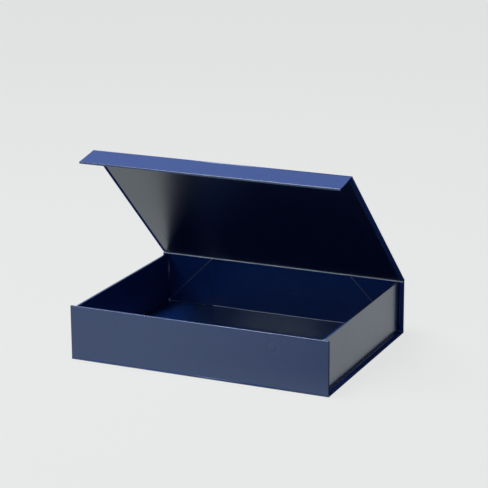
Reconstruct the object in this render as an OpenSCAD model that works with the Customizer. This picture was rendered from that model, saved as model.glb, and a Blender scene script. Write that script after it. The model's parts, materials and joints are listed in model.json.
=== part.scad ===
// Fold-flat archival box with a hinged lid and a magnetic flap.
// Origin: centre of the underside of the base. +X to the right along the front, +Y to the
// back, +Z up. Every panel is greyboard with a wrap paper outside and a lining inside.

/* [Box] */
// Width of the case, along the front
box_w = 320; // [200:1:460]
// Depth of the case, front wall to spine
box_d = 240; // [180:1:360]
// Height of the tray walls
box_h = 65; // [45:1:110]
// Lid flap, from its fold to its free edge
flap_len = 36; // [26:1:42]
// Set-back of each side wall from the end of the case
wall_inset = 6; // [3:0.5:12]

/* [Opening] */
// Lid as drawn, degrees up from closed
lid_angle = 43.75; // [1:0.05:180]
// Flap as drawn, degrees in from the line of the lid
flap_bend = 53.9; // [0:0.1:89]

/* [Board and paper] */
// Thickness of the greyboard
board_t = 2; // [1.6:0.1:3]
// Thickness of the wrap paper and of the lining
paper_t = 0.25; // [0.15:0.01:0.35]
// Wrap turned over an edge that shows around a lining
turn_in = 4.5; // [3:0.5:12]
// Hinge paper glued flat to the floor
foot_w = 12; // [8:1:20]

/* [Corners] */
// Thickness of the corner tabs
tab_t = 0.6; // [0.4:0.05:0.9]
// Width of each front glue tab
front_tab_w = 25; // [15:1:32]
// Slope of the front tab's top edge, degrees
tab_slope = 12; // [0:1:25]
// Tab edges below the rim of the tray
tab_drop = 1; // [0.5:0.1:4]
// Double-sided tape on the front tabs
tape_w = 12; // [8:1:14]
// Thickness of that tape
tape_t = 0.2; // [0.1:0.05:0.3]
// Room behind each side wall for the folding corner
corner_room = 3.2; // [3:0.1:5]

/* [Magnets] */
// Diameter of a magnet disc
magnet_d = 15; // [8:0.5:18]
// Thickness of a magnet disc
magnet_t = 1.5; // [1:0.1:1.6]
// Magnet centre from the end of the case
magnet_inset = 67; // [30:1:90]
// Magnet centre from the flap's fold
magnet_reach = 17.5; // [12:0.5:21]

/* [Hidden] */
$fn = 64;

// Clearances
fold_gap = 0.15;    // between a crease and the panels that turn about it
lid_gap = 0.3;      // closed lid over the rim, and closed flap in front of the front wall
magnet_gap = 0.2;   // around a magnet in its pocket
gusset_gap = 0.2;   // between a loose gusset and the spine behind it

// Panels: wrap, board and lining
panel_t = board_t + 2 * paper_t;
crease_r = panel_t / 2;
panel_start = crease_r + fold_gap;
front_y = -box_d / 2;
spine_y = box_d / 2;
base_run = box_d - 2 * crease_r;
wall_run = box_h - crease_r;
lid_run = box_d + lid_gap;
flap_run = flap_len - crease_r;
lid_axis_z = box_h + lid_gap + crease_r;

// Side walls: they turn inwards about a thin crease at the inner foot
wall_out_x = -box_w / 2 + wall_inset;
wall_in_x = wall_out_x + panel_t;
thin_r = 0.5;       // radius of the crease at the foot of a side wall
tab_r = 0.3;        // radius of the creases of the corner tabs
tab_offset = 0.1;   // front tab's fold line, in from the two faces that it joins
front_in_y = front_y + panel_t;
spine_in_y = spine_y - panel_t;
tab_in_y = front_in_y + fold_gap + tape_t + tab_t;
tab_axis_x = wall_in_x + tab_offset;
tab_axis_y = tab_in_y + tab_offset;
wall_y0 = tab_axis_y + tab_r + fold_gap;
wall_y1 = spine_in_y - corner_room;
strip_top = panel_t + paper_t;
folded_tab = fold_gap + tape_t + tab_t + 2 * tab_offset;
wall_axis_x = wall_in_x - thin_r;
wall_axis_z = strip_top + folded_tab + thin_r;

// Rear corners: a square tab creased from the foot of the corner to its far top edge
gusset_side = box_h - tab_drop - wall_axis_z;
gusset_y = spine_in_y - gusset_gap - tab_t;
gusset_axis_y = gusset_y - fold_gap;
crease_room = (tab_r + fold_gap) * sqrt(2);
tab_foot = wall_axis_z - strip_top - fold_gap;

WRAP = "midnightblue";
LINING = "darkslateblue";
BOARD = "tan";

// ---- frames: each puts a panel's own frame, hinge line at its origin, where it belongs ----

module base_frame() translate([0, front_y + crease_r, crease_r]) children();

module front_frame() translate([0, front_y + crease_r, crease_r]) rotate([90, 0, 180]) children();

module spine_frame() translate([0, spine_y - crease_r, crease_r]) rotate([90, 0, 0]) children();

module lid_frame() {
  translate([0, spine_y - crease_r, lid_axis_z]) rotate([180 - lid_angle, 0, 0]) children();
}

module flap_frame() lid_frame() translate([0, lid_run, 0]) rotate([flap_bend, 0, 0]) children();

// ---- one panel: y runs away from its hinge, the outer face is at the lowest z ----

// Board from y0 to y1, short of a free far edge by the paper that covers it
module board_of(y0, y1, free_edge = false) {
  far = free_edge ? paper_t : 0;
  translate([-box_w / 2 + paper_t, y0, -board_t / 2])
    cube([box_w - 2 * paper_t, y1 - y0 - far, board_t]);
}

module lining_of(y0, y1, free_edge = false) {
  far = free_edge ? turn_in : 0;
  translate([-box_w / 2 + turn_in, y0, board_t / 2])
    cube([box_w - 2 * turn_in, y1 - y0 - far, paper_t]);
}

// Wrap paper: the whole skin of the panel, less what the board and the lining fill
module wrap_of(y0, y1, free_edge = false) {
  difference() {
    translate([-box_w / 2, y0, -crease_r]) cube([box_w, y1 - y0, panel_t]);
    board_of(y0, y1, free_edge);
    lining_of(y0, y1, free_edge);
  }
}

// Round fold of wrap paper along the whole case
module crease_of() rotate([0, 90, 0]) cylinder(r = crease_r, h = box_w, center = true);

// One of something at each magnet, at the distance y from the hinge
module at_magnets(y) {
  for (side = [-1, 1]) translate([side * (box_w / 2 - magnet_inset), y, 0]) children();
}

module magnet_pockets(y) {
  at_magnets(y) cylinder(d = magnet_d + 2 * magnet_gap, h = 2 * board_t, center = true);
}

module magnets_of(y) {
  at_magnets(y) translate([0, 0, -board_t / 2]) cylinder(d = magnet_d, h = magnet_t);
}

// ---- base ----

module base_board() color(BOARD) base_frame() board_of(panel_start, base_run - panel_start);

module base_wrap() color(WRAP) base_frame() wrap_of(panel_start, base_run - panel_start);

module floor_lining() color(LINING) base_frame() lining_of(panel_start, base_run - panel_start);

module front_crease() color(WRAP) base_frame() crease_of();

module spine_crease() color(WRAP) spine_frame() crease_of();

// Foot of the spine's lining, glued to the floor between the two rear tabs
module spine_lining_foot() {
  half = -wall_in_x - gusset_side;
  color(LINING)
    translate([-half, spine_y - foot_w, panel_t])
      cube([2 * half, foot_w - panel_t - fold_gap, paper_t]);
}

// Hinge paper of a side wall: flat on the floor, then up to the crease
module left_wall_strip() {
  rise = wall_axis_z - thin_r - fold_gap;
  color(LINING)
    translate([wall_in_x, 0, 0])
      rotate([90, 0, 0])
        translate([0, 0, -wall_y1])
          linear_extrude(wall_y1 - wall_y0)
            polygon([
              [-2 * thin_r, panel_t], [foot_w, panel_t], [foot_w, strip_top],
              [0, strip_top], [0, rise], [-2 * thin_r, rise]
            ]);
}

module right_wall_strip() mirror([1, 0, 0]) left_wall_strip();

module left_wall_crease() {
  color(LINING)
    translate([wall_axis_x, wall_y0, wall_axis_z])
      rotate([-90, 0, 0]) cylinder(r = thin_r, h = wall_y1 - wall_y0);
}

module right_wall_crease() mirror([1, 0, 0]) left_wall_crease();

// ---- front wall ----

front_magnet_y = lid_axis_z - magnet_reach - crease_r;

module front_board() {
  color(BOARD)
    front_frame()
      difference() {
        board_of(panel_start, wall_run, true);
        magnet_pockets(front_magnet_y);
      }
}

module front_wrap() color(WRAP) front_frame() wrap_of(panel_start, wall_run, true);

module front_lining() color(LINING) front_frame() lining_of(panel_start, wall_run, true);

module front_magnets() color("silver") front_frame() magnets_of(front_magnet_y);

// ---- spine ----

module spine_board() color(BOARD) spine_frame() board_of(panel_start, wall_run);

module spine_wrap() color(WRAP) spine_frame() wrap_of(panel_start, wall_run);

module spine_lining() color(LINING) spine_frame() lining_of(panel_start, wall_run);

module lid_crease() color(WRAP) lid_frame() crease_of();

// Puts a flat shape, drawn from the foot of the left rear corner, upright at depth y
module at_rear_corner(y, thickness) {
  translate([wall_in_x, y + thickness, wall_axis_z])
    rotate([90, 0, 0]) linear_extrude(thickness) children();
}

// Lower triangle of the rear tab, glued to the spine
module left_glued_tab() {
  color(LINING)
    at_rear_corner(spine_in_y - tab_t, tab_t)
      polygon([
        [crease_room, 0], [crease_room, -tab_foot], [gusset_side, -tab_foot],
        [gusset_side, gusset_side - crease_room]
      ]);
}

module right_glued_tab() mirror([1, 0, 0]) left_glued_tab();

module left_gusset_crease() {
  long = (gusset_side - crease_room) * sqrt(2);
  color(LINING)
    translate([wall_in_x, gusset_axis_y, wall_axis_z])
      rotate([0, 45, 0])
        translate([0, 0, crease_room]) cylinder(r = tab_r, h = long - crease_room);
}

module right_gusset_crease() mirror([1, 0, 0]) left_gusset_crease();

// Upper triangle of the rear tab, loose, which turns over as the box folds flat
module left_gusset() {
  color(LINING)
    at_rear_corner(gusset_y, tab_t)
      polygon([
        [fold_gap, fold_gap + crease_room], [gusset_side - crease_room, gusset_side],
        [fold_gap, gusset_side]
      ]);
}

module right_gusset() mirror([1, 0, 0]) left_gusset();

// ---- side walls ----

// Cut away around the crease at the wall's inner foot
module wall_notch() {
  wide = 2 * thin_r + fold_gap;
  translate([wall_in_x - wide, wall_y0 - 1, 0])
    cube([wide + 1, wall_y1 - wall_y0 + 2, wall_axis_z + thin_r + fold_gap]);
}

module wall_block(skin) {
  translate([wall_out_x + skin, wall_y0 + skin, panel_t + fold_gap])
    cube([
      panel_t - 2 * skin, wall_y1 - wall_y0 - 2 * skin,
      box_h - panel_t - fold_gap - skin
    ]);
}

module left_wall_board() {
  color(BOARD)
    difference() {
      wall_block(paper_t);
      wall_notch();
    }
}

module right_wall_board() mirror([1, 0, 0]) left_wall_board();

// One sheet over both faces, the top and the ends
module left_wall_wrap() {
  color(WRAP)
    difference() {
      wall_block(0);
      wall_block(paper_t);
      wall_notch();
    }
}

module right_wall_wrap() mirror([1, 0, 0]) left_wall_wrap();

// ---- front glue tabs ----

front_tab_z0 = wall_axis_z + 2 * thin_r;
front_tab_z1 = box_h - tab_drop;
front_tab_x0 = tab_offset + tab_r + fold_gap;

module left_tab_crease() {
  color(LINING)
    translate([tab_axis_x, tab_axis_y, front_tab_z0])
      cylinder(r = tab_r, h = front_tab_z1 - front_tab_z0);
}

module right_tab_crease() mirror([1, 0, 0]) left_tab_crease();

// Height of the tab's edges at the distance x from the wall: mitred below so that it
// clears the floor as the wall comes down
function tab_low(x) = front_tab_z0 + x - front_tab_x0;
function tab_high(x) = front_tab_z1 - (x - front_tab_x0) * tan(tab_slope);

module tab_outline(x0, x1) {
  polygon([[x0, tab_low(x0)], [x1, tab_low(x1)], [x1, tab_high(x1)], [x0, tab_high(x0)]]);
}

module at_front_corner(y, thickness) {
  translate([wall_in_x, y + thickness, 0])
    rotate([90, 0, 0]) linear_extrude(thickness) children();
}

module left_front_tab() {
  color(LINING)
    at_front_corner(tab_in_y - tab_t, tab_t) tab_outline(front_tab_x0, front_tab_w);
}

module right_front_tab() mirror([1, 0, 0]) left_front_tab();

// Adhesive tape on the face that meets the front wall
module left_tab_tape() {
  middle = (front_tab_x0 + front_tab_w) / 2;
  color("ivory")
    at_front_corner(tab_in_y - tab_t - tape_t, tape_t)
      tab_outline(middle - tape_w / 2, middle + tape_w / 2);
}

module right_tab_tape() mirror([1, 0, 0]) left_tab_tape();

// ---- lid and flap ----

module lid_board() color(BOARD) lid_frame() board_of(panel_start, lid_run - panel_start);

module lid_wrap() color(WRAP) lid_frame() wrap_of(panel_start, lid_run - panel_start);

module lid_lining() color(LINING) lid_frame() lining_of(panel_start, lid_run - panel_start);

module flap_crease() color(WRAP) flap_frame() crease_of();

module flap_board() {
  color(BOARD)
    flap_frame()
      difference() {
        board_of(panel_start, flap_run, true);
        magnet_pockets(magnet_reach);
      }
}

module flap_wrap() color(WRAP) flap_frame() wrap_of(panel_start, flap_run, true);

module flap_lining() color(LINING) flap_frame() lining_of(panel_start, flap_run, true);

module flap_magnets() color("silver") flap_frame() magnets_of(magnet_reach);

base_board();
base_wrap();
floor_lining();
front_crease();
spine_crease();
spine_lining_foot();
left_wall_strip();
right_wall_strip();
left_wall_crease();
right_wall_crease();
front_board();
front_wrap();
front_lining();
front_magnets();
spine_board();
spine_wrap();
spine_lining();
left_glued_tab();
right_glued_tab();
left_gusset_crease();
right_gusset_crease();
lid_crease();
left_wall_board();
right_wall_board();
left_wall_wrap();
right_wall_wrap();
left_tab_crease();
right_tab_crease();
left_gusset();
right_gusset();
left_front_tab();
right_front_tab();
left_tab_tape();
right_tab_tape();
lid_board();
lid_wrap();
lid_lining();
flap_crease();
flap_board();
flap_wrap();
flap_lining();
flap_magnets();
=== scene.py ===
# %% [markdown]
# # A fold-flat archival box in laminated paper
#
# The real box is made of flat greyboards with one large sheet of navy laminated paper
# wrapped round them. Five boards as wide as the case lie in a row in that sheet: front
# wall, base, spine, lid and flap. Two side walls stand on the base, a little in from its
# ends, and square paper tabs at the rear corners let the whole tray fold flat.
#
# The construction is already solid and exact. This script dresses it: every paper skin is
# built again with soft wrapped edges, pasted linings and bending folds, and each finish is
# worked out with nodes. All sizes are read from the loaded frame, so that the paper
# follows the boards if the box is made in another size.

# %% Load the fixed frame
import json
from math import cos, degrees, pi, radians, sin

import bmesh
import bpy
from mathutils import Matrix, Vector


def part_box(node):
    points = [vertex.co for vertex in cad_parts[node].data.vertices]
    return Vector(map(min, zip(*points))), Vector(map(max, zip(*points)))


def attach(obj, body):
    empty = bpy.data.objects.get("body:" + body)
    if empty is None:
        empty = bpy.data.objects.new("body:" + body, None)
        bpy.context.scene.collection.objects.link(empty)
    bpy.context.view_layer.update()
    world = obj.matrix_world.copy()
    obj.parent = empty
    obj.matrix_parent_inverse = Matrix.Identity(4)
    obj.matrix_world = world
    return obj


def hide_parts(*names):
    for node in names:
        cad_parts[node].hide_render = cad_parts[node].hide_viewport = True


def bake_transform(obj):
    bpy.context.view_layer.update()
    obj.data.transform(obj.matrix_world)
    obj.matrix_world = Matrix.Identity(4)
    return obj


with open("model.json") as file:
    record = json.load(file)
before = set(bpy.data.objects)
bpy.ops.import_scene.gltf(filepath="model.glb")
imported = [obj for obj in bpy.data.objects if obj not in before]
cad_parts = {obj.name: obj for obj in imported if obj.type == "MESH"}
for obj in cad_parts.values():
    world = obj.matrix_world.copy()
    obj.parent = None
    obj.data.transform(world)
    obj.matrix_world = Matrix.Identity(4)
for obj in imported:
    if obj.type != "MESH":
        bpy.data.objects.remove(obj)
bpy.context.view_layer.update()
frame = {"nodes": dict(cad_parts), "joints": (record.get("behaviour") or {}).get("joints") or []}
joints = {j["name"]: j for j in frame["joints"]}

# %% [markdown]
# ## A frame for each panel
#
# A board is easiest to model lying flat. So each panel gets a frame of its own: its hinge
# line is the X axis, Y runs away from the hinge along the board, and Z points from the
# outer face, which is wrap paper, to the inner face, which is lining. The piece is built
# there and carried to its place by one matrix as its last step, which leaves the object
# itself at the origin, unturned.

# %% Panel frames, from the hinges of the frame
MM = 0.001
SAME = 1e-6  # in metres: closer than this counts as the same place


def hinge(name):
    """The point on a hinge's axis, in metres."""
    return Vector(joints[name]["pos_m"])


def turn(angle, axis="X"):
    return Matrix.Rotation(angle, 4, axis)


LID_OPEN = -radians(joints["lid_hinge"]["range_deg"][0])
FLAP_BEND = -radians(joints["flap_hinge"]["range_deg"][0])
PLACE = {
    "base": Matrix.Translation(hinge("front_fold")),
    "front": Matrix.Translation(hinge("front_fold")) @ turn(pi, "Z") @ turn(pi / 2),
    "spine": Matrix.Translation(hinge("back_fold")) @ turn(pi / 2),
    "lid": Matrix.Translation(hinge("lid_hinge")) @ turn(pi - LID_OPEN),
    "flap": Matrix.Translation(hinge("flap_hinge")) @ turn(pi - LID_OPEN + FLAP_BEND),
}
BODY = {"base": "tray_base", "front": "front_wall", "spine": "spine", "lid": "lid", "flap": "flap"}


def box_in(node, place=Matrix.Identity(4)):
    """Lowest and highest corner of a CAD node, measured in the frame of a panel."""
    back = place.inverted()
    points = [back @ v.co for v in frame["nodes"][node].data.vertices]
    return Vector(map(min, zip(*points))), Vector(map(max, zip(*points)))


print("panels", list(PLACE), f"lid at {degrees(LID_OPEN):.2f}, flap at {degrees(FLAP_BEND):.2f} degrees")

# %% [markdown]
# ## Finishing a piece
#
# Every piece ends in the same way: it is moved from its own frame to the row frame, its
# normals are made to point outwards, and it becomes an object with one material. Faces on
# a rounded edge are shaded smooth and the flat ones stay flat, so that a large panel keeps
# an even face and only its edges turn the light.

# %% Make an object from a bmesh
FOLD = "fold"  # vertex attribute: 1 where paper bends round an edge, 0 on flat paper


def new_object(name, data):
    """An object that holds this data, in the scene."""
    made = bpy.data.objects.new(name, data)
    bpy.context.scene.collection.objects.link(made)
    return made


def mesh_object(bm, name):
    """An object made from a bmesh, which is used up."""
    mesh = bpy.data.meshes.new(name)
    bm.to_mesh(mesh)
    bm.free()
    return new_object(name, mesh)


def finish_piece(bm, name, material, slot, place=Matrix.Identity(4), outwards=True):
    """Turn a bmesh into an object in the row frame, with its place in its mesh."""
    bmesh.ops.transform(bm, matrix=place, verts=bm.verts)
    if outwards:
        bmesh.ops.recalc_face_normals(bm, faces=bm.faces)
    piece = mesh_object(bm, name)
    piece.data.materials.append(material)
    print(f"{name}: {len(piece.data.polygons)} faces")
    return piece


def face_through(bm, points):
    """One new face through these points."""
    return bm.faces.new([bm.verts.new(point) for point in points])


def block(bm, low, high):
    """A rectangular block from corner to corner; returns its vertices."""
    middle, size = (low + high) / 2, high - low
    place = Matrix.Translation(middle) @ Matrix.Diagonal((*size, 1))
    return bmesh.ops.create_cube(bm, size=1, matrix=place)["verts"]


def soften(bm, edges, radius, segments=4):
    """Round these edges, mark the bent paper in the FOLD attribute and shade it smooth."""
    layer = bm.verts.layers.float.get(FOLD) or bm.verts.layers.float.new(FOLD)
    made = bmesh.ops.bevel(
        bm, geom=edges, offset=radius, offset_type="OFFSET", segments=segments,
        profile=0.5, affect="EDGES", clamp_overlap=True, material=-1,
    )
    bent = set(made["faces"])
    for face in bent:
        face.smooth = True
        for vert in face.verts:
            vert[layer] = float(all(f in bent for f in vert.link_faces))


print("bent paper is marked in the vertex attribute", FOLD)

# %% [markdown]
# ## Shared effects as node groups
#
# Laminated paper is not a flat colour. Three things show on the real sheet: the film has a
# fine orange peel over the paper's fibres, the board under it is never quite flat, so
# that large reflections swim a little, and every folded edge is rubbed slightly paler.
# That paler edge is also a painted highlight, which lightens the bent paper all along.
# Each effect is a node group with named inputs, made once and placed in every paper
# material with its own values. The groups put out heights and masks only.

# %% Helpers for node groups
def new_group(name, inputs, outputs):
    """An empty shader group with float sockets; inputs are (name, default)."""
    group = bpy.data.node_groups.new(name, "ShaderNodeTree")
    for label, value in inputs:
        socket = group.interface.new_socket(label, in_out="INPUT", socket_type="NodeSocketFloat")
        socket.default_value = value
    for label in outputs:
        group.interface.new_socket(label, in_out="OUTPUT", socket_type="NodeSocketFloat")
    return group


def add(tree, kind, **settings):
    """A new node; settings are its properties, or its inputs where the name is one."""
    node = tree.nodes.new(kind)
    for key, value in settings.items():
        if key in node.inputs.keys():
            node.inputs[key].default_value = value
        else:
            setattr(node, key, value)
    return node


def put(tree, socket, value):
    """Give a socket a number, a colour of three values, or a link from another socket."""
    if isinstance(value, bpy.types.NodeSocket):
        tree.links.new(value, socket)
    else:
        socket.default_value = (*value, 1) if isinstance(value, tuple) else value


def math_node(tree, operation, *values, clamp=False):
    """A Math node whose inputs are numbers or sockets; returns its output."""
    node = add(tree, "ShaderNodeMath", operation=operation, use_clamp=clamp)
    for socket, value in zip(node.inputs, values):
        put(tree, socket, value)
    return node.outputs[0]


def ramp(tree, value, start, stop, lowest=0.0):
    """A smooth ramp from lowest to 1 while the value goes from start to stop."""
    node = add(tree, "ShaderNodeMapRange", interpolation_type="SMOOTHSTEP")
    for name, level in (("From Min", start), ("From Max", stop), ("To Min", lowest), ("Value", value)):
        put(tree, node.inputs[name], level)
    return node.outputs["Result"]


def blend_colours(tree, factor, a, b):
    """From colour a at factor 0 to colour b at factor 1."""
    node = add(tree, "ShaderNodeMix", data_type="RGBA")
    for name, value in (("Factor", factor), ("A", a), ("B", b)):
        put(tree, node.inputs[name], value)
    return node.outputs["Result"]


def noise(tree, vector, scale, detail=2.0, roughness=0.5):
    """The value of a Noise texture."""
    node = add(tree, "ShaderNodeTexNoise", Scale=scale, Detail=detail, Roughness=roughness)
    tree.links.new(vector, node.inputs["Vector"])
    return node.outputs["Fac"]


def new_material(name):
    """A material, its node tree and its shader."""
    material = bpy.data.materials.new(name)
    material.use_nodes = True
    return material, material.node_tree, material.node_tree.nodes["Principled BSDF"]


def bump(tree, shader, height, strength, distance):
    """Let a height turn the shader's normal."""
    node = add(tree, "ShaderNodeBump", Strength=strength, Distance=distance)
    tree.links.new(height, node.inputs["Height"])
    tree.links.new(node.outputs["Normal"], shader.inputs["Normal"])


# %% Laminated paper: peel, fibres and the waviness of the board
def make_paper_surface():
    group = new_group(
        "paper_surface",
        [("Peel", 0.5), ("Fibre", 0.3), ("Waviness", 1.0)],
        ["Height", "Mottle"],
    )
    nodes_in, nodes_out = add(group, "NodeGroupInput"), add(group, "NodeGroupOutput")
    place = add(group, "ShaderNodeTexCoord").outputs["Object"]
    peel = noise(group, place, 900.0, 2.0)
    fibre = noise(group, place, 4200.0, 3.0, 0.6)
    sway = noise(group, place, 16.0, 1.5, 0.4)
    cloud = noise(group, place, 55.0, 4.0, 0.6)
    height = math_node(group, "MULTIPLY", peel, nodes_in.outputs["Peel"])
    height = math_node(group, "MULTIPLY_ADD", fibre, nodes_in.outputs["Fibre"], height)
    height = math_node(group, "MULTIPLY_ADD", sway, nodes_in.outputs["Waviness"], height)
    group.links.new(height, nodes_out.inputs["Height"])
    group.links.new(cloud, nodes_out.inputs["Mottle"])
    return group


PAPER_SURFACE = make_paper_surface()
print(PAPER_SURFACE.name, len(PAPER_SURFACE.nodes), "nodes")


# %% Rubbed folds and painted highlight: paler along a bent edge, broken up by noise
def make_fold_rub_highlight():
    group = new_group("fold_rub_and_highlight", [("Amount", 0.5)], ["Mask"])
    nodes_in, nodes_out = add(group, "NodeGroupInput"), add(group, "NodeGroupOutput")
    place = add(group, "ShaderNodeTexCoord").outputs["Object"]
    bend = add(group, "ShaderNodeAttribute", attribute_name=FOLD).outputs["Fac"]
    patchy = noise(group, place, 240.0, 4.0, 0.65)
    # bent paper is painted paler: wear, and a painted highlight along the edge
    mask = math_node(group, "MULTIPLY", bend, ramp(group, patchy, 0.25, 0.7, 0.45))
    mask = math_node(group, "MULTIPLY", mask, nodes_in.outputs["Amount"], clamp=True)
    group.links.new(mask, nodes_out.inputs["Mask"])
    return group


FOLD_RUB_HIGHLIGHT = make_fold_rub_highlight()
print(FOLD_RUB_HIGHLIGHT.name, len(FOLD_RUB_HIGHLIGHT.nodes), "nodes")


# %% Handling: long faint scuffs that change the gloss
def make_handling():
    group = new_group("handling", [("Amount", 0.5)], ["Mask"])
    nodes_in, nodes_out = add(group, "NodeGroupInput"), add(group, "NodeGroupOutput")
    place = add(group, "ShaderNodeTexCoord").outputs["Object"]
    stretch = add(group, "ShaderNodeMapping")
    stretch.inputs["Rotation"].default_value = (0.3, 0.5, 0.7)
    stretch.inputs["Scale"].default_value = (1.0, 3.0, 3.0)
    group.links.new(place, stretch.inputs["Vector"])
    streak = noise(group, stretch.outputs["Vector"], 5.0, 2.0, 0.4)
    mask = math_node(group, "MULTIPLY", ramp(group, streak, 0.4, 0.8), nodes_in.outputs["Amount"])
    group.links.new(mask, nodes_out.inputs["Mask"])
    return group


HANDLING = make_handling()
print(HANDLING.name, len(HANDLING.nodes), "nodes")

# %% [markdown]
# ## The navy papers
#
# The wrap is a deep navy sheet with a satin film on it: a dark, saturated blue under a
# clear gloss that turns pale where it faces the light at a low angle. The lining is the
# same paper in a slightly deeper shade, and the lid's lining is far darker: painted shade
# under the lid. The panels' ends and turned-in borders get a copy of the wrap with a
# brighter blue and almost no gloss; the brighter blue is painted light that lifts these
# faces out of their shade. Where a fold is rubbed down hard the paper is painted pale,
# partly as the cracked colour of a rubbed fold and partly as a painted highlight.
# One function builds all of them. The two colours, the gloss of the film and the strength
# of each effect are its values, and the film's index of refraction is set on the shader,
# because it is the same all over the sheet.

# %% A laminated paper material
FIBRE = 0.05  # how far the fibres show through the film
SCUFFED = 0.02  # roughness that handling adds
PEEL_STRENGTH, PEEL_HEIGHT = 0.35, 0.1 * MM
# the pale colour of bent edges: rubbed paper, and a painted highlight along them
PALE_RUB_HIGHLIGHT = (0.30, 0.34, 0.46)  # the colour of a rubbed edge
FILM_TINT = (0.80, 0.96, 1.0, 1)  # the film's reflection is faintly cool


def laminated(name, deep, pale, gloss, peel, rub_highlight_amount, waviness=1.0, ior=1.85):
    """Navy paper under a satin film. deep and pale are the two ends of its mottle."""
    material, tree, shader = new_material(name)
    surface = add(tree, "ShaderNodeGroup", node_tree=PAPER_SURFACE, Peel=peel, Fibre=FIBRE, Waviness=waviness)
    rub_and_highlight = add(tree, "ShaderNodeGroup", node_tree=FOLD_RUB_HIGHLIGHT, Amount=rub_highlight_amount)
    scuff = add(tree, "ShaderNodeGroup", node_tree=HANDLING, Amount=1.0)

    ink = blend_colours(tree, surface.outputs["Mottle"], deep, pale)
    # bent edges blend towards the pale colour: rubbed paper and painted highlight
    tree.links.new(blend_colours(tree, rub_and_highlight.outputs["Mask"], ink, PALE_RUB_HIGHLIGHT), shader.inputs["Base Color"])
    rough = math_node(tree, "MULTIPLY_ADD", scuff.outputs["Mask"], SCUFFED, gloss)
    tree.links.new(rough, shader.inputs["Roughness"])
    bump(tree, shader, surface.outputs["Height"], PEEL_STRENGTH, PEEL_HEIGHT)
    shader.inputs["IOR"].default_value = ior
    shader.inputs["Specular Tint"].default_value = FILM_TINT
    return material


WRAP = laminated("navy_wrap", (0.009, 0.040, 0.21), (0.013, 0.049, 0.24), 0.25, 0.25, 0.5)
# a copy of the wrap for ends and borders: its blue is brighter, painted light on faces in shade, and its film
# has almost no gloss
WRAP_SIDES_PAINTED_LIGHT = laminated("navy_wrap_sides_painted_light", (0.022, 0.080, 0.42), (0.030, 0.100, 0.50), 0.45, 0.3, 0.25, ior=1.03)
# pale paper for the pressed strip on the spine's roll: partly the cracked colour of a rubbed fold, partly a
# painted highlight for the bright line along the box
WRAP_RUB_HIGHLIGHT = laminated("navy_wrap_rub_highlight", (0.48, 0.56, 0.86), (0.58, 0.66, 0.94), 0.27, 0.1, 0, waviness=0.3)
LINING = laminated("navy_lining", (0.008, 0.038, 0.21), (0.011, 0.048, 0.25), 0.18, 0.25, 0.35)
# pale lining for pressed strips and crease tops: partly rubbed paper, partly a painted highlight for the thin
# line at the back of the floor
LINING_RUB_HIGHLIGHT = laminated("navy_lining_rub_highlight", (0.10, 0.14, 0.30), (0.14, 0.18, 0.36), 0.35, 0.1, 0, waviness=0.3)
# the lid's lining is much darker than the other linings: painted shade on the underside of the lid
LID_LINING_PAINTED_SHADE = laminated("navy_lid_lining_painted_shade", (0.002, 0.007, 0.045), (0.004, 0.010, 0.058), 0.31, 0.25, 0.3)
print("papers", [m.name for m in (WRAP, WRAP_SIDES_PAINTED_LIGHT, WRAP_RUB_HIGHLIGHT, LINING, LINING_RUB_HIGHLIGHT, LID_LINING_PAINTED_SHADE)])

# %% [markdown]
# ## Greyboard, nickel and tape
#
# Under the paper is solid greyboard, pressed from waste paper, so it is a dull warm grey
# with paler and darker fibres and a felt-like surface. The discs in the pockets are nickel
# plated and slightly dulled. The double-sided tape on the hidden tabs is a thin milky film.
# These parts have the right shape already, so they keep it and only get a finish, which is
# assigned to the slot of the object.

# %% Finishes for the parts that stay as they are
def mixed_finish(name, dark, light, scale, rough, rough_range, height, metallic=0.0):
    """A colour that drifts between two shades, with roughness and height from noise."""
    material, tree, shader = new_material(name)
    place = add(tree, "ShaderNodeTexCoord").outputs["Object"]
    speckle = noise(tree, place, scale, 5.0, 0.7)
    tree.links.new(blend_colours(tree, speckle, dark, light), shader.inputs["Base Color"])
    dull = math_node(tree, "MULTIPLY_ADD", noise(tree, place, scale * 0.2, 3.0), rough_range, rough)
    tree.links.new(dull, shader.inputs["Roughness"])
    bump(tree, shader, speckle, 0.5, height)
    shader.inputs["Metallic"].default_value = metallic
    return material


BOARD = mixed_finish("greyboard", (0.26, 0.24, 0.20), (0.56, 0.53, 0.47), 900, 0.8, 0.2, 0.0001)
NICKEL = mixed_finish("nickel_plate", (0.62, 0.61, 0.59), (0.78, 0.77, 0.75), 300, 0.16, 0.2, 0.00002, 1.0)
TAPE = mixed_finish("milky_tape", (0.70, 0.68, 0.60), (0.86, 0.84, 0.78), 160, 0.38, 0.2, 0.00005)
for node, part in frame["nodes"].items():
    for word, finish in (("board", BOARD), ("magnets", NICKEL), ("tape", TAPE)):
        if word in node:
            part.material_slots[0].material = finish
print("finishes on kept parts", BOARD.name, NICKEL.name, TAPE.name)

# %% [markdown]
# ## Wrapped boards
#
# Each case panel is a skin of paper round its greyboard. The outside starts as a block
# with its free edges rounded, because paper can't fold sharper than about half a
# millimetre over board. On the inner face the wrap is turned in round the free sides, and
# the middle is left open for the lining. Inside is the hollow that the board fills. The
# outer and the inner block are joined by bridging the two openings, so the skin is one
# closed sheet of real thickness. Where a panel meets its hinge the outer face runs
# straight on, because there the same sheet goes round the fold.

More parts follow.
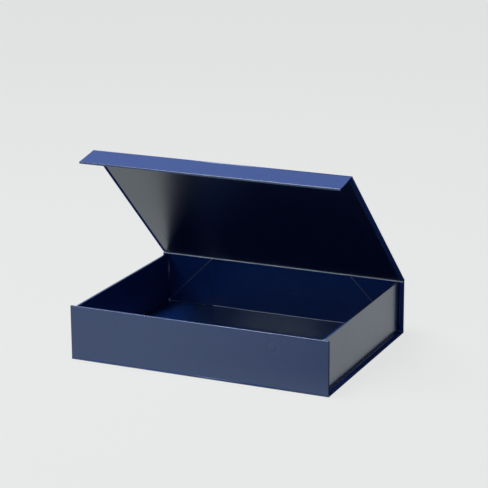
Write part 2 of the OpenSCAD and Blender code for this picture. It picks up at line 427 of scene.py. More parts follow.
# %% One wrapped panel
EDGE_R = 0.55 * MM  # how tightly the paper folds over a board's edge
FOLD_LIP = 0.02 * MM  # paper over the end of a board, inside a fold
FOLD_RIM = 0.7 * MM  # wrap left showing between a lining and a fold
MITRE = 0.12 * MM  # half the width of the seam where two turned-in sides meet
HOLLOW_EDGE = 0.5 * MM  # the paper starts to sink this far outside a magnet
HOLLOW = (  # width and drop of each ring, from the rim inwards
    (0.3 * MM, 0.02 * MM), (0.7 * MM, 0.19 * MM), (1.0 * MM, 0), (0.8 * MM, -0.13 * MM), (2.5 * MM, -0.02 * MM),
)
HOLLOW_ROOM = 1.3  # half side of the square cut round a hollow, in radii
HOLLOW_CUTS = 48
FLAT = 0.99  # faces whose normals agree better than this face the same way
INWARDS = Vector((0, 0, 1))  # in a panel's own frame
LINING_NODE = {"base": "floor_lining", **{p: p + "_lining" for p in ("front", "spine", "lid", "flap")}}
FAR_FOLD = {"base": True, "front": False, "spine": True, "lid": True, "flap": False}  # a fold there too


def face_towards(faces, direction):
    """The largest face that points that way."""
    facing = [f for f in faces if f.normal.dot(direction) > FLAT]
    return max(facing, key=lambda f: f.calc_area())


def open_to(bm, face, low, high, inset):
    """Inset a face, move the new inner corners to low and high, and take the face out."""
    bmesh.ops.inset_region(bm, faces=[face], thickness=inset, use_even_offset=True)
    middle = face.calc_center_median()
    for v in face.verts:
        v.co.x = high.x if v.co.x > middle.x else low.x
        v.co.y = high.y if v.co.y > middle.y else low.y
    bmesh.ops.delete(bm, geom=[face], context="FACES_ONLY")


def is_at(edge, axis, value):
    """True if the whole edge lies at this value of x, y or z."""
    return all(abs(v.co[axis] - value) < SAME for v in edge.verts)


def wrapped_panel(panel, far_fold):
    """Wrap paper round one board; far_fold says if its far end is a fold as well."""
    place = PLACE[panel]
    low, high = box_in(panel + "_wrap", place)
    board_low, board_high = box_in(panel + "_board", place)
    lining_low, lining_high = box_in(LINING_NODE[panel], place)
    low.y -= FOLD_LIP
    folds = [low.y]
    lining_low.y = low.y + FOLD_RIM
    if far_fold:
        high.y += FOLD_LIP
        folds.append(high.y)
        lining_high.y = high.y - FOLD_RIM

    bm = bmesh.new()
    block(bm, low, high)
    bm.normal_update()
    free = [
        e for e in bm.edges
        if not any(is_at(e, 1, y) and (is_at(e, 2, low.z) or not is_at(e, 2, high.z)) for y in folds)
    ]
    soften(bm, free, EDGE_R)
    bm.normal_update()
    open_to(bm, face_towards(bm.faces, INWARDS), lining_low, lining_high, MITRE * 2)

    hollow = bmesh.new()
    block(hollow, board_low, board_high)
    hollow.normal_update()
    open_to(hollow, face_towards(hollow.faces, INWARDS), lining_low, lining_high, MITRE * 2)
    bmesh.ops.reverse_faces(hollow, faces=hollow.faces)
    inner = bpy.data.meshes.new("hollow")
    hollow.to_mesh(inner)
    hollow.free()
    bm.from_mesh(inner)
    bpy.data.meshes.remove(inner)
    bmesh.ops.bridge_loops(bm, edges=[e for e in bm.edges if e.is_boundary])
    return bm


def press_magnets(bm, node, place, out):
    """Press a shallow round hollow into the large face towards out, over each magnet."""
    low, high = box_in(node, place)
    disc_r = (high.y - low.y) / 2
    radius = disc_r + HOLLOW_EDGE
    level = face_towards(bm.faces, out).calc_center_median().z

    def at_level():
        bm.normal_update()
        return [f for f in bm.faces if f.normal.dot(out) > FLAT and abs(f.verts[0].co.z - level) < SAME]

    for x in (low.x + disc_r, high.x - disc_r):
        centre = Vector((x, (low.y + high.y) / 2, level))
        for across in ((-1, 0, 0), (1, 0, 0), (0, -1, 0), (0, 1, 0)):
            flat = at_level()
            edges = list(dict.fromkeys(e for f in flat for e in f.edges))
            verts = list(dict.fromkeys(v for f in flat for v in f.verts))
            cut = centre + Vector(across) * radius * HOLLOW_ROOM
            bmesh.ops.bisect_plane(
                bm, geom=flat + edges + verts, plane_co=cut, plane_no=across, dist=SAME,
            )
        square = min(at_level(), key=lambda f: (f.calc_center_median() - centre).length)
        edges = list(square.edges)
        bmesh.ops.delete(bm, geom=[square], context="FACES_ONLY")
        disc = bmesh.ops.create_circle(
            bm, cap_ends=True, segments=HOLLOW_CUTS, radius=radius, matrix=Matrix.Translation(centre),
        )["verts"]
        cap = disc[0].link_faces[0]
        cap.normal_update()
        if cap.normal.dot(out) < 0:
            bmesh.ops.reverse_faces(bm, faces=[cap])
        bmesh.ops.bridge_loops(bm, edges=edges + list(cap.edges))
        for width, drop in HOLLOW:
            rings = bmesh.ops.inset_region(bm, faces=[cap], thickness=width, depth=-drop, use_even_offset=True)
            for face in rings["faces"] + [cap]:
                face.smooth = True


def finish_panel(panel, far_fold):
    """The wrap of one panel, with a brighter, nearly glossless paper on its ends and its turned-in border,
    painted light on faces that lie in shade.
    """
    bm = wrapped_panel(panel, far_fold)
    if panel == "front":
        press_magnets(bm, "front_magnets", PLACE[panel], -INWARDS)
    bm.normal_update()
    # faces turned sideways or inwards get the brighter copy of the wrap: painted light on faces in shade
    for face in bm.faces:
        face.material_index = int(abs(face.normal.x) > 0.5 or face.normal.z > 0.98)
    piece = finish_piece(bm, panel + "_wrap_paper", WRAP, "wrap_paper", PLACE[panel])
    piece.data.materials.append(WRAP_SIDES_PAINTED_LIGHT)
    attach(piece, BODY[panel])
    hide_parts(panel + "_wrap")


for panel, far_fold in FAR_FOLD.items():
    finish_panel(panel, far_fold)

# %% [markdown]
# ## Linings
#
# A lining is a thinner sheet pasted over the inner face, inside the turned-in edges of the
# wrap. It is a plate that fills the opening of the skin and stands a hair proud of it. On
# the lid the turned-in wrap shows through its border, because the middle is a little
# lower: an inset, dropped by less than a tenth of a millimetre, gives that faint frame.

# %% Lining sheets
PROUD = 0.06 * MM  # the lining's border stands this far above the wrap
TURN_UNDER = 14 * MM  # turned-in wrap hidden under the lining
RAMP = 1.2 * MM  # width of the step where the hidden wrap ends
SHEET_R = 0.1 * MM


def lining_sheet(panel, far_fold):
    """The sheet inside one panel's wrap; the lid's is far darker, painted shade under the lid."""
    place, node = PLACE[panel], LINING_NODE[panel]
    low, high = box_in(node, place)
    wrap_low, wrap_high = box_in(panel + "_wrap", place)
    low.y = wrap_low.y - FOLD_LIP + FOLD_RIM
    if far_fold:
        high.y = wrap_high.y + FOLD_LIP - FOLD_RIM
    high.z += PROUD
    bm = bmesh.new()
    block(bm, low, high)
    bm.normal_update()
    top = [e for e in bm.edges if is_at(e, 2, high.z)]
    soften(bm, top, SHEET_R, 2)
    bm.normal_update()
    field = face_towards(bm.faces, INWARDS)
    if panel == "lid":
        bmesh.ops.inset_region(bm, faces=[field], thickness=TURN_UNDER, use_even_offset=True)
        bmesh.ops.inset_region(bm, faces=[field], thickness=RAMP, depth=-PROUD, use_even_offset=True)
    if panel == "flap":
        press_magnets(bm, "flap_magnets", place, INWARDS)
    # the lid's lining is painted dark: painted shade under the lid
    finish = (LID_LINING_PAINTED_SHADE, "lid_lining_paper") if panel == "lid" else (LINING, "lining_paper")
    piece = finish_piece(bm, node + "_sheet", *finish, place)
    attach(piece, BODY[panel])
    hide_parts(node)


for panel, far_fold in FAR_FOLD.items():
    lining_sheet(panel, far_fold)

# %% [markdown]
# ## The foot of the spine's lining
#
# Between the rear tabs the spine's lining runs down, turns on to the floor and is pasted
# there. Such paper is stretched tight across the corner, so it stands a little off the
# spine in the middle and lies back against it at both ends. The part that was rubbed down
# is a narrow flat strip, and that strip is what catches a thin line of light along the
# back of the tray. Its paper is painted pale as well, partly as rubbed paper and partly as
# a painted highlight on that line. The end of the sheet is extruded along the floor, spun
# most of a quarter turn, extruded for the flat strip, spun the rest of the way and
# extruded up the spine. Then it is cut into short lengths near its ends, so that they can
# be moved back.

# %% Helpers for a strip of paper
def carry(bm, face, vec, keep=False):
    """Extrude one face by a vector, as a new end of the same strip; keep leaves the old end."""
    made = bmesh.ops.extrude_face_region(bm, geom=[face], use_keep_orig=True)["geom"]
    new = next(g for g in made if isinstance(g, bmesh.types.BMFace))
    bmesh.ops.translate(bm, verts=new.verts, vec=vec)
    if not keep:
        bmesh.ops.delete(bm, geom=[face], context="FACES_ONLY")
    return new


def swing(bm, face, centre, axis, angle, steps):
    """Spin one face round a centre, as a new end of the same strip."""
    last = bmesh.ops.spin(
        bm, geom=[face], cent=centre, axis=axis, angle=angle, steps=steps, use_duplicate=False,
    )["geom_last"]
    if face.is_valid:
        bmesh.ops.delete(bm, geom=[face], context="FACES_ONLY")
    return next(g for g in last if isinstance(g, bmesh.types.BMFace))


def weld(bm):
    """Join the lengths of a strip and turn its faces outwards."""
    bmesh.ops.remove_doubles(bm, verts=bm.verts, dist=1e-7)
    bmesh.ops.recalc_face_normals(bm, faces=bm.faces)


print("a strip grows with", carry.__name__, "and turns with", swing.__name__)

# %% Lining in the inner corner of the back fold
COVE_R = 1.2 * MM
COVE_STEPS = 6
COVE_FRONT = 1.6 * MM  # how far the paper stands off the spine's foot in the middle
COVE_REST = 0.45 * MM  # and at its ends
COVE_FADE, COVE_FADE_STEPS = 60 * MM, 15  # it lies back over this length at each end
COVE_LEG = 26 * MM  # height where it meets the spine
COVE_SIDE = 1 * MM  # clear of the tabs' loose halves when those lie folded over
FACET = 0.8 * MM  # pressed flat where the fold was rubbed down
FACET_TILT = radians(27.5)
FACET_STEPS = 3
FACET_OUT = Vector((0, -cos(FACET_TILT), sin(FACET_TILT)))
FACET_UP = Vector((0, sin(FACET_TILT), cos(FACET_TILT))) * FACET


def spine_foot():
    """The spine's lining where it turns on to the floor, stretched across the corner."""
    low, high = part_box("spine_lining_foot")
    spine_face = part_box("spine_lining")[0].y - PROUD
    low.x, high.x = low.x + COVE_SIDE, high.x - COVE_SIDE
    high.y = spine_face - COVE_FRONT
    bm = bmesh.new()
    first = face_through(bm, (
        (low.x, low.y, low.z), (high.x, low.y, low.z), (high.x, low.y, high.z), (low.x, low.y, high.z),
    ))
    end = carry(bm, first, (0, high.y - COVE_R - low.y, 0), keep=True)
    centre = Vector((0, high.y - COVE_R, low.z + COVE_R))
    end = swing(bm, end, centre, (1, 0, 0), pi / 2 - FACET_TILT, COVE_STEPS)
    end = carry(bm, end, FACET_UP)
    end = swing(bm, end, centre + FACET_UP, (1, 0, 0), FACET_TILT, FACET_STEPS)
    carry(bm, end, (0, COVE_FRONT + high.z - low.z - FACET_UP.y, COVE_LEG))
    weld(bm)
    leg_start = centre.z + FACET_UP.z
    # the flat strip gets the pale lining: rubbed paper and painted highlight
    for face in bm.faces:
        middle = face.calc_center_median()
        facet = face.normal.dot(FACET_OUT) > 0.999
        face.smooth = middle.y > centre.y and middle.z < leg_start and not facet
        face.material_index = int(facet)
    for i in range(1, COVE_FADE_STEPS + 1):
        along = COVE_FADE * i / COVE_FADE_STEPS
        for x, out in ((low.x + along, -1), (high.x - along, 1)):
            geom = list(bm.faces) + list(bm.edges) + list(bm.verts)
            bmesh.ops.bisect_plane(bm, geom=geom, plane_co=(x, 0, 0), plane_no=(out, 0, 0), dist=1e-7)
    for v in bm.verts:
        if v.co.y > low.y + SAME:
            part_way = min(1, (v.co.x - low.x) / COVE_FADE, (high.x - v.co.x) / COVE_FADE)
            stands = part_way * part_way * (3 - 2 * part_way)
            rise = max(0, v.co.z - leg_start) / COVE_LEG
            v.co.y += (COVE_FRONT - COVE_REST) * (1 - stands) * max(0, 1 - rise)
    piece = finish_piece(bm, "spine_foot_paper", LINING, "lining_paper")
    piece.data.materials.append(LINING_RUB_HIGHLIGHT)
    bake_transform(piece)
    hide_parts("spine_lining_foot")


spine_foot()

# %% [markdown]
# ## The roll on top of the spine
#
# Under the lid's hinge the wrap turns over the spine's top edge on to its inner face. The
# paper is doubled there, so it stands a little proud in a long roll, and the bone folder
# presses a narrow flat strip on it all along the box. That strip is painted pale, partly
# as rubbed paper and partly as a painted highlight for the bright line along the top of
# the spine. The roll is grown in the same way as the foot, the other way up, and it stays
# with the spine.

# %% The roll
ROLL_R = 0.6 * MM
ROLL_STEPS = 6
ROLL_PROUD = 0.26 * MM  # in front of the lining
ROLL_RISE = 0.25 * MM  # above the spine's wrap
ROLL_LIP = 0.02 * MM  # short straight length at its lower edge


def hinge_roll():
    """Wrap rolled over the spine's inner top edge, under the lid's hinge."""
    low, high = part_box("spine_wrap")
    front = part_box("spine_lining")[0].y - ROLL_PROUD
    centre = Vector((0, front + ROLL_R, high.z + ROLL_RISE - ROLL_R - FACET_UP.z))
    left, right = low.x + EDGE_R, high.x - EDGE_R
    bm = bmesh.new()
    first = face_through(bm, (
        (left, front, centre.z), (right, front, centre.z),
        (right, front + ROLL_R / 2, centre.z), (left, front + ROLL_R / 2, centre.z),
    ))
    end = carry(bm, first, (0, 0, ROLL_LIP), keep=True)
    end = swing(bm, end, centre, (-1, 0, 0), FACET_TILT, FACET_STEPS)
    end = carry(bm, end, FACET_UP)
    swing(bm, end, centre + FACET_UP, (-1, 0, 0), pi / 2 - FACET_TILT, ROLL_STEPS)
    weld(bm)
    # the flat strip that faces out gets the pale paper: rubbed paper and painted highlight
    for face in bm.faces:
        lean = face.normal.dot(FACET_OUT)
        rolled = face.calc_center_median().z > centre.z + ROLL_LIP * 1.5 and abs(face.normal.x) < 0.5
        face.smooth = rolled and lean < 0.999
        face.material_index = int(lean > 0.9)
    piece = finish_piece(bm, "hinge_roll_paper", WRAP, "wrap_paper")
    piece.data.materials.append(WRAP_RUB_HIGHLIGHT)
    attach(piece, "spine")


hinge_roll()

# %% [markdown]
# ## Folds of the case
#
# At a hinge there is no board, only paper. The sheet leaves one panel's outer face, goes
# round the fold and joins the next face. A spin of the sheet's end about the hinge axis
# gives exactly that: a short straight leg, an arc and a second leg.

# %% Paper round a fold
FOLD_T = 0.6 * MM  # wrap and lining pasted together
ARC_STEPS = 10
CASE_LOW, CASE_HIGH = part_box("base_wrap")
CASE_WIDTH = CASE_HIGH.x - CASE_LOW.x
PANEL_T = CASE_HIGH.z - CASE_LOW.z
PANEL_START = box_in("spine_wrap", PLACE["spine"])[0].y  # from a hinge to the board's end
print(f"case {CASE_WIDTH / MM:.1f} mm wide, panels {PANEL_T / MM:.2f} mm thick")


def fold_paper(name, panel, other, angle, *nodes):
    """The wrap round the hinge at the panel's own origin, on to the other panel; other is not used."""
    reach = PANEL_START - FOLD_LIP
    outer = -PANEL_T / 2
    half = CASE_WIDTH / 2
    bm = bmesh.new()
    corners = [(-half, outer), (half, outer), (half, outer + FOLD_T), (-half, outer + FOLD_T)]
    first = face_through(bm, [(x, reach, z) for x, z in corners])
    end = carry(bm, first, (0, -reach, 0), keep=True)
    end = swing(bm, end, (0, 0, 0), (1, 0, 0), angle, ARC_STEPS)
    carry(bm, end, turn(angle).to_3x3() @ Vector((0, -reach, 0)))
    weld(bm)
    for face in bm.faces:
        face.smooth = abs(face.normal.x) < 0.5
    piece = finish_piece(bm, name, WRAP, "wrap_paper", PLACE[panel])
    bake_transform(piece)
    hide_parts(*nodes)


fold_paper("front_fold_paper", "front", "base", -pi / 2, "front_crease")
fold_paper("back_fold_paper", "spine", "base", -pi / 2, "spine_crease")
fold_paper("lid_fold_paper", "lid", "spine", -(pi / 2 - LID_OPEN), "lid_crease")
fold_paper("flap_fold_paper", "flap", "lid", -FLAP_BEND, "flap_crease")

# %% [markdown]
# ## Side walls
#
# A side wall is a board wrapped by one sheet over both faces, its top and its ends. At
# its inner foot a notch leaves room for the paper hinge that it folds in on. Its section
# is drawn as a few points, extruded along the wall, rounded on its outside edges and made
# hollow for the board. Both walls come from the same function, and the right one is the
# left one with its x turned over.

# %% Side wall wraps
SIDES = {"left": 1, "right": -1}
NOTCH_SKIN = 0.05 * MM  # paper over the board inside the notch


def flip(side):
    """Turns the left-hand shape over to the right, or leaves it."""
    return Matrix.Diagonal((SIDES[side], 1, 1, 1))


def extruded(bm, outline, start, stop):
    """The faces of a prism along y; outline is pairs in x and z, in order."""
    before = set(bm.faces)
    base = face_through(bm, [(x, start, z) for x, z in outline])
    carry(bm, base, (0, stop - start, 0), keep=True)
    made = [f for f in bm.faces if f not in before]
    bmesh.ops.recalc_face_normals(bm, faces=made)
    return made


def notched(low, high, notch_x, notch_z):
    """Section of a side wall in x and z, cut away at its inner foot."""
    return [
        (low.x, low.z), (low.x, high.z), (high.x, high.z),
        (high.x, notch_z), (notch_x, notch_z), (notch_x, low.z),
    ]


def side_wall(side):
    """The sheet round one side wall's board, hollow where the board is."""
    low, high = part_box("left_wall_wrap")
    board_low, board_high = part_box("left_wall_board")
    points = [v.co for v in frame["nodes"]["left_wall_board"].data.vertices]
    notch_x = max(p.x for p in points if p.z < board_low.z + SAME)
    notch_z = min(p.z for p in points if p.x > board_high.x - SAME)
    bm = bmesh.new()
    extruded(bm, notched(low, high, notch_x + NOTCH_SKIN, notch_z - NOTCH_SKIN), low.y, high.y)
    inside = [
        e for e in bm.edges
        if all(v.co.x > low.x + SAME and v.co.z < notch_z + SAME for v in e.verts)
    ]
    soften(bm, [e for e in bm.edges if e not in inside], EDGE_R)
    bmesh.ops.recalc_face_normals(bm, faces=bm.faces)
    hollow = extruded(bm, notched(board_low, board_high, notch_x, notch_z), board_low.y, board_high.y)
    bmesh.ops.reverse_faces(bm, faces=hollow)
    bmesh.ops.transform(bm, matrix=flip(side), verts=bm.verts)
    if side == "right":
        bmesh.ops.reverse_faces(bm, faces=bm.faces)
    piece = finish_piece(bm, side + "_wall_wrap_paper", WRAP, "wrap_paper", outwards=False)
    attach(piece, side + "_wall")
    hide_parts(side + "_wall_wrap")


for side in SIDES:
    side_wall(side)

# %% [markdown]
# ## Hinge paper at the foot of a side wall
#
# A strip of lining paper is pasted flat on the floor beside each wall, turns up and runs
# into the wall's notch. The flat part stays with the base. The upright part is a narrow
# band in a few steps.

# %% Foot strips and their folds
BEND_CUTS = 8  # cuts across the band that bends


def foot_strip(side):
    """The flat strip pasted to the floor, with its low upstand against the wall."""
    low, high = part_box("left_wall_strip")
    wall_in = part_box("left_wall_wrap")[1].x
    top_of_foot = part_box("spine_lining_foot")[1].z
    bm = bmesh.new()
    outline = [
        (low.x, low.z), (high.x, low.z), (high.x, top_of_foot),
        (wall_in, top_of_foot), (wall_in, high.z), (low.x, high.z),
    ]
    extruded(bm, outline, low.y, high.y)
    rim = [e for e in bm.edges if all(v.co.z > low.z + SAME for v in e.verts) and not is_at(e, 0, low.x)]
    rim = [e for e in rim if not (is_at(e, 2, top_of_foot) and is_at(e, 0, wall_in))]
    soften(bm, rim, SHEET_R, 2)
    piece = finish_piece(bm, side + "_foot_strip", LINING, "lining_paper", flip(side))
    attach(piece, "tray_base")
    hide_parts(side + "_wall_strip")


def wall_fold(side):
    """The upright band between the strip and the wall's notch."""
    low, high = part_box("left_wall_crease")
    strip_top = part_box("left_wall_strip")[1].z
    notch_z = 2 * hinge("left_wall_fold").z - strip_top
    quarter = (high.x - low.x) / 4
    bm = bmesh.new()
    block(bm, Vector((low.x + quarter, low.y, strip_top)), Vector((high.x - quarter, high.y, notch_z)))
    upright = [e for e in bm.edges if abs(e.verts[0].co.z - e.verts[1].co.z) > SAME]
    bmesh.ops.subdivide_edges(bm, edges=upright, cuts=BEND_CUTS, use_grid_fill=True)
    for face in bm.faces:
        face.smooth = True
    piece = finish_piece(bm, side + "_wall_fold_paper", LINING, "lining_paper", flip(side))
    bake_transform(piece)
    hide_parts(side + "_wall_crease")


for side in SIDES:
    foot_strip(side)
    wall_fold(side)

# %% [markdown]
# ## Rear corner tabs
#
# Each rear tab is a square of paper-covered card behind the tray's corner. Its lower
# triangle is glued to the spine. Its upper triangle is loose and turns over on a diagonal
# crease as the box folds flat. The triangles are thin plates with softened edges. The
# crease is a narrow strip, pushed up into a low ridge as a score in card is, and painted
# pale along its top, partly as rubbed paper and partly as a painted highlight.

# %% Rear tabs
CARD_R = 0.18 * MM  # softened edge of the covered card
RIDGE = 0.35 * MM  # how far the scored crease stands up
RIDGE_T = 0.12 * MM  # thickness of the paper in the ridge
RIDGE_IN = 0.05 * MM  # how far it starts behind the tab's face
RIDGE_LAP = 0.25 * MM  # how far it laps over each half
# the part of the ridge's width painted pale: rubbed paper and painted highlight
RIDGE_RUB_HIGHLIGHT = 0.7  # the part of its width that is rubbed
CREASE_CUTS, CREASE_ROWS = 8, 24
SLANT = 1.414  # length along the diagonal for each unit of height


def card(name, outline, node, body, side):
    """A thin plate with a softened outline; outline is pairs in x and z."""
    low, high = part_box(node.replace("right", "left"))
    bm = bmesh.new()
    extruded(bm, outline, low.y, high.y)
    rim = [e for e in bm.edges if is_at(e, 1, low.y) or is_at(e, 1, high.y)]
    soften(bm, rim, CARD_R, 3)
    piece = finish_piece(bm, name, LINING, "lining_paper", flip(side))
    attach(piece, body)
    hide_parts(node)


def rear_tab(side):
    """The two triangles of one tab."""
    low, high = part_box("left_glued_tab")
    fold = hinge("left_gusset_fold")
    glued = [(low.x, fold.z), (low.x, low.z), (high.x, low.z), (high.x, high.z)]
    card(side + "_tab_glued_half", glued, side + "_glued_tab", "spine", side)
    g_low, g_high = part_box("left_gusset")
    loose = [(g_low.x, g_low.z), (g_high.x, g_high.z), (g_low.x, g_high.z)]
    card(side + "_tab_loose_half", loose, side + "_gusset", side + "_corner_gusset", side)


def diagonal_fold(side):
    """A ridge of paper along the crease, from the glued half to the loose half."""
    low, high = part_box("left_glued_tab")
    fold = hinge("left_gusset_fold")
    start, stop = (low.x - fold.x) * SLANT, (high.z - fold.z) * SLANT
    half = start / 2 + RIDGE_LAP
    bm = bmesh.new()
    bmesh.ops.create_grid(bm, x_segments=CREASE_CUTS, y_segments=CREASE_ROWS, size=0.5)
    bmesh.ops.scale(bm, verts=bm.verts, vec=(2 * half, stop - start, 1))
    bmesh.ops.translate(bm, verts=bm.verts, vec=(0, (start + stop) / 2, 0))
    for v in bm.verts:
        v.co.z = RIDGE * cos(v.co.x / half * pi / 2) ** 2
    bmesh.ops.solidify(bm, geom=bm.faces, thickness=RIDGE_T)
    # the middle of the ridge gets the pale lining: rubbed paper and painted highlight
    for face in bm.faces:
        face.smooth = True
        face.material_index = int(abs(face.calc_center_median().x) < half * RIDGE_RUB_HIGHLIGHT)
    # grid y runs up the diagonal, grid x across it and grid z towards the tray
    along = Vector((1, 0, 1)).normalized()
    across = Vector((-1, 0, 1)).normalized()
    out = Vector((0, -1, 0))
    place = Matrix((across, along, out)).transposed().to_4x4()
    place.translation = Vector((fold.x, low.y + RIDGE_IN, fold.z))
    piece = finish_piece(bm, side + "_tab_crease_paper", LINING, "lining_paper", flip(side) @ place)
    piece.data.materials.append(LINING_RUB_HIGHLIGHT)
    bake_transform(piece)
    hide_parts(side + "_gusset_crease")


for side in SIDES:
    rear_tab(side)
    diagonal_fold(side)

# %% [markdown]
# ## Paper in the rear corners
#
# The wrap of a side wall runs on past the end of its board, turns in the corner and joins
# the loose half of the tab. That corner opens in use, so the paper is made as one narrow
# strip that belongs to the wall: it continues the inner face and rounds off just before
# the tab, which keeps it clear as both of them turn.

# %% Rear corner strips
CORNER_T = 0.5 * MM
CORNER_R = 0.9 * MM
CORNER_STEPS = 6
CORNER_GAP = 0.12 * MM  # clear of the tab and of the wall's top


def rear_corner(side):
    """The upright strip that runs on from one side wall's inner face."""
    wall_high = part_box("left_wall_wrap")[1]
    tab_low, tab_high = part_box("left_gusset")
    bottom, top = tab_low.z + CORNER_R, tab_high.z - CORNER_GAP
    x_in, x_out = wall_high.x, wall_high.x - CORNER_T
    stop = tab_low.y - CORNER_GAP
    bm = bmesh.new()
    start = wall_high.y - EDGE_R
    first = face_through(bm, (
        (x_out, start, bottom), (x_in, start, bottom), (x_in, start, top), (x_out, start, top),
    ))
    turn_at = stop - CORNER_R - CORNER_T
    end = carry(bm, first, (0, turn_at - start, 0), keep=True)
    swing(bm, end, (x_in + CORNER_R, turn_at, 0), (0, 0, -1), pi / 2, CORNER_STEPS)
    weld(bm)
    for face in bm.faces:
        face.smooth = abs(face.normal.z) < 0.5
    piece = finish_piece(bm, side + "_rear_corner_paper", WRAP, "wrap_paper", flip(side))
    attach(piece, side + "_wall")


for side in SIDES:
    rear_corner(side)

# %% [markdown]
# ## Front glue tabs
#
# Behind the front wall each side wall carries a tab, mitred at its foot so that it clears
# the floor, with tape towards the front wall. The paper between wall and tab turns a tight
# corner. It is spun like the large folds, only upright.

# %% Front tabs and their folds
TURN_OUTER, TURN_INNER = 0.45 * MM, 0.15 * MM  # the paper's two faces, from the fold's axis
TURN_STEPS = 6
WALL_LAP, TAB_LAP = 0.3 * MM, 0.2 * MM  # how far it runs into the wall and on to the tab


def edge_span(node, x):
    """Lowest and highest z of a node where its x is this."""
    heights = [v.co.z for v in frame["nodes"][node].data.vertices if abs(v.co.x - x) < SAME]
    return min(heights), max(heights)


def front_tab(side):
    """The card of one glue tab, mitred at its foot and its top."""
    low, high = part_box("left_front_tab")
    near, far = edge_span("left_front_tab", low.x), edge_span("left_front_tab", high.x)
    outline = [(low.x, near[0]), (high.x, far[0]), (high.x, far[1]), (low.x, near[1])]
    card(side + "_glue_tab_card", outline, side + "_front_tab", side + "_glue_tab", side)


def corner_fold(side):
    """The paper that turns from one side wall on to its glue tab."""
    low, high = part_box("left_tab_crease")
    tab_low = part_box("left_front_tab")[0]
    wall_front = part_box("left_wall_wrap")[0].y
    axis = (low + high) / 2
    bm = bmesh.new()
    start = wall_front + WALL_LAP - axis.y
    first = face_through(bm, (
        (-TURN_OUTER, start, low.z), (-TURN_OUTER, start, high.z),
        (-TURN_INNER, start, high.z), (-TURN_INNER, start, low.z),
    ))
    end = carry(bm, first, (0, -start, 0), keep=True)
    end = swing(bm, end, (0, 0, 0), (0, 0, 1), pi / 2, TURN_STEPS)
    carry(bm, end, (tab_low.x + TAB_LAP - axis.x, 0, 0))
    weld(bm)
    for face in bm.faces:
        face.smooth = abs(face.normal.z) < 0.5
    place = Matrix.Translation((axis.x, axis.y, 0))
    piece = finish_piece(bm, side + "_corner_fold_paper", LINING, "lining_paper", flip(side) @ place)
    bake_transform(piece)
    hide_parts(side + "_tab_crease")


for side in SIDES:
    front_tab(side)
    corner_fold(side)

# %% [markdown]
# ## Camera
#
# A long lens from a little above the front right corner keeps the box's sides nearly
# parallel. The camera is placed by its position and three angles, and its matrix is built
# from the direction it looks in, so that no rotation order has to be kept in mind.

# %% Camera
CAMERA_AT = Vector((0.9077, -1.9815, 0.7550))
YAW, PITCH, ROLL = radians(24.49), radians(16.13), radians(-0.4)
camera = new_object("camera", bpy.data.cameras.new("camera"))
camera.data.lens = 144.25
camera.data.sensor_width = 36
camera.data.clip_start, camera.data.clip_end = 0.05, 60
look = Vector((-sin(YAW) * cos(PITCH), cos(YAW) * cos(PITCH), -sin(PITCH)))
right = Vector((cos(YAW), sin(YAW), 0))
over = right.cross(look)
facing = Matrix((right, over, -look)).transposed().to_4x4()
camera.matrix_world = Matrix.Translation(CAMERA_AT) @ facing @ turn(ROLL, "Z")
bpy.context.scene.camera = camera
print(f"camera {CAMERA_AT.length:.2f} m away, lens {camera.data.lens:.0f} mm")

# %% [markdown]
# ## Floor
#
# Product pictures are lit from large soft sources over a pale sweep of paper. A sweep that
# is pale enough to look right would also throw too much light up under the box, so it is
# split in two with the light path: rays that see it, directly or as a reflection, get a
# pale even glow, and rays that carry light from it to the box meet a dark ground. Towards
# the front right the reflected glow fades, as it would at the end of the sweep.

# %% Which rays see the studio
def plainly_seen(tree):
    """1 for rays that show the studio itself, in view, in gloss or through glass."""
    path = add(tree, "ShaderNodeLightPath")
    seen = math_node(tree, "MAXIMUM", path.outputs["Is Camera Ray"], path.outputs["Is Glossy Ray"])
    return math_node(tree, "MAXIMUM", seen, path.outputs["Is Transmission Ray"])


# %% Floor
FLOOR_HALF, FLOOR_DROP = 14, 0.0002  # in metres; a hair below the box, so they don't flicker
GROUND = (0.07, 0.07, 0.07, 1)  # what lights the box
SEEN_GROUND = (0.725, 0.735, 0.735)
DIM_GROUND = (0.34, 0.33, 0.31)  # reflected from the front right
FADE_X, FADE_Y = (-0.15, 0.25), (-0.10, -0.22)


def make_floor():
    """A large flat ground that looks pale and lights little."""
    bm = bmesh.new()
    bmesh.ops.create_grid(bm, x_segments=1, y_segments=1, size=FLOOR_HALF)
    floor = mesh_object(bm, "studio_floor")
    floor.location.z = -FLOOR_DROP
    material, tree, shader = new_material("pale_ground")
    shader.inputs["Base Color"].default_value = GROUND
    shader.inputs["Roughness"].default_value = 1.0
    shader.inputs["Specular IOR Level"].default_value = 0.0
    split = add(tree, "ShaderNodeSeparateXYZ")
    tree.links.new(add(tree, "ShaderNodeTexCoord").outputs["Object"], split.inputs["Vector"])
    corner = math_node(
        tree, "MULTIPLY", ramp(tree, split.outputs["X"], *FADE_X), ramp(tree, split.outputs["Y"], *FADE_Y),
    )
    gloss_ray = add(tree, "ShaderNodeLightPath").outputs["Is Glossy Ray"]
    fade = math_node(tree, "MULTIPLY", corner, gloss_ray)
    ground = blend_colours(tree, fade, SEEN_GROUND, DIM_GROUND)
    glow = blend_colours(tree, plainly_seen(tree), (0, 0, 0), ground)
    tree.links.new(glow, shader.inputs["Emission Color"])
    shader.inputs["Emission Strength"].default_value = 1.0
    floor.data.materials.append(material)
    print(f"{floor.name}: {2 * FLOOR_HALF} m square")


make_floor()

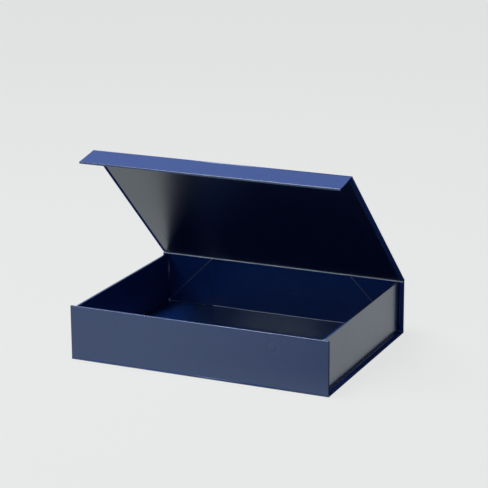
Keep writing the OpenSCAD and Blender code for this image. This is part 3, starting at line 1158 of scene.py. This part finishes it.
# %% [markdown]
# ## World and lights
#
# The world is split in the same way. What is seen in the gloss is a pale horizon that
# falls off overhead and is dim behind the camera, because a glossy navy paper shows its
# blue only where it has something dark to reflect. What lights the box is a faint
# glow from the front. Two softboxes do the rest: a large one overhead on the left, which
# lights the flap and the floor, and a small one low at the front left, which reaches under
# the lid and draws the bright lines on the rubbed folds.

# %% World
AMBIENT, SHADE = (0.19, 0.20, 0.22), (0.008, 0.008, 0.009)  # light from the front and from elsewhere
HORIZON, OVERHEAD = (0.75, 0.76, 0.76), (0.22, 0.23, 0.25)  # seen in the gloss
DIM_FRONT = (0.06, 0.065, 0.07)


def make_world():
    """A pale horizon that falls off overhead; dimmer where it lights the object."""
    world = bpy.data.worlds.new("studio")
    bpy.context.scene.world = world
    world.use_nodes = True
    tree = world.node_tree
    split = add(tree, "ShaderNodeSeparateXYZ")
    tree.links.new(add(tree, "ShaderNodeTexCoord").outputs["Generated"], split.inputs["Vector"])
    ahead = math_node(tree, "MULTIPLY", split.outputs["Y"], -1.0)
    front = math_node(tree, "MULTIPLY_ADD", split.outputs["X"], -0.5, ahead)
    facing_front = ramp(tree, front, 0.1, 0.9)
    fall = blend_colours(tree, ramp(tree, split.outputs["Z"], 0.05, 0.75), HORIZON, OVERHEAD)
    studio = blend_colours(tree, facing_front, fall, DIM_FRONT)
    room = blend_colours(tree, facing_front, SHADE, AMBIENT)
    sky = blend_colours(tree, plainly_seen(tree), room, studio)
    tree.links.new(sky, tree.nodes["Background"].inputs["Color"])
    print("world", world.name, len(tree.nodes), "nodes")


make_world()


# %% Softboxes
def softbox(name, at, aim, side, watts):
    """A square area light at one point, turned towards another."""
    lamp = bpy.data.lights.new(name, "AREA")
    lamp.shape, lamp.size, lamp.energy = "SQUARE", side, watts
    holder = new_object(name, lamp)
    holder.location = at
    holder.rotation_euler = (Vector(aim) - Vector(at)).to_track_quat("-Z", "Y").to_euler()
    print(f"{name}: {side} m square, {watts} W")


softbox("key_softbox", (-0.5, -0.35, 2.15), (0, 0, 0.1), 1.2, 57)
softbox("front_fill", (-1.15, -2.3, 1.75), (0, 0, 0.05), 0.5, 6.5)
bpy.context.scene.view_settings.view_transform = "Standard"
